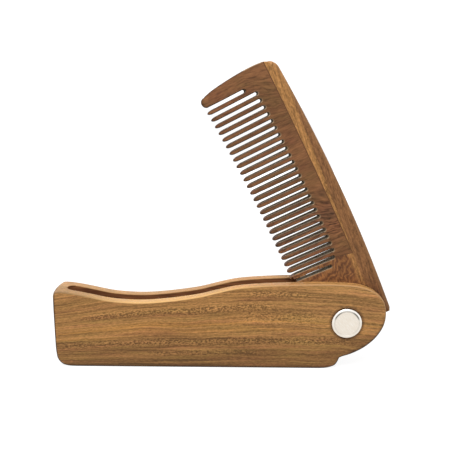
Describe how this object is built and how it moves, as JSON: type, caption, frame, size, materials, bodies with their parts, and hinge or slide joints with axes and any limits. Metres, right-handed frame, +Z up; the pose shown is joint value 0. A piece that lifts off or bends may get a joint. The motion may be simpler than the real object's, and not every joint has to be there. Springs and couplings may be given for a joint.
{
  "type": "folding comb",
  "caption": "Folding wooden pocket comb: a dark tooth plate on a lighter spine swings on a metal rivet out of a slotted wooden handle.",
  "frame": {"origin": "middle of the handle's flat base, where the comb stands", "axes": "+X along the handle towards the pivot, +Y through its thickness towards the back, +Z up"},
  "size_m": [0.1135, 0.0142, 0.1015],
  "materials": {
    "handle_wood": "golden brown, oiled, grain along the handle",
    "spine_wood": "golden brown, oiled, grain along the spine",
    "tooth_wood": "dark reddish brown, oiled, grain along the teeth",
    "rivet_metal": "satin, pale"
  },
  "bodies": {
    "handle": {"handle": "handle_wood", "pivot_rivet": "rivet_metal"},
    "comb": {"comb_spine": "spine_wood", "tooth_plate": "tooth_wood"}
  },
  "joints": [
    {"name": "comb_hinge", "type": "hinge", "parent": "handle", "child": "comb", "pos_m": [0.04839, 0, 0.01621], "axis": [0, 1, 0], "range_deg": [-63.25, 116.75]}
  ]
}
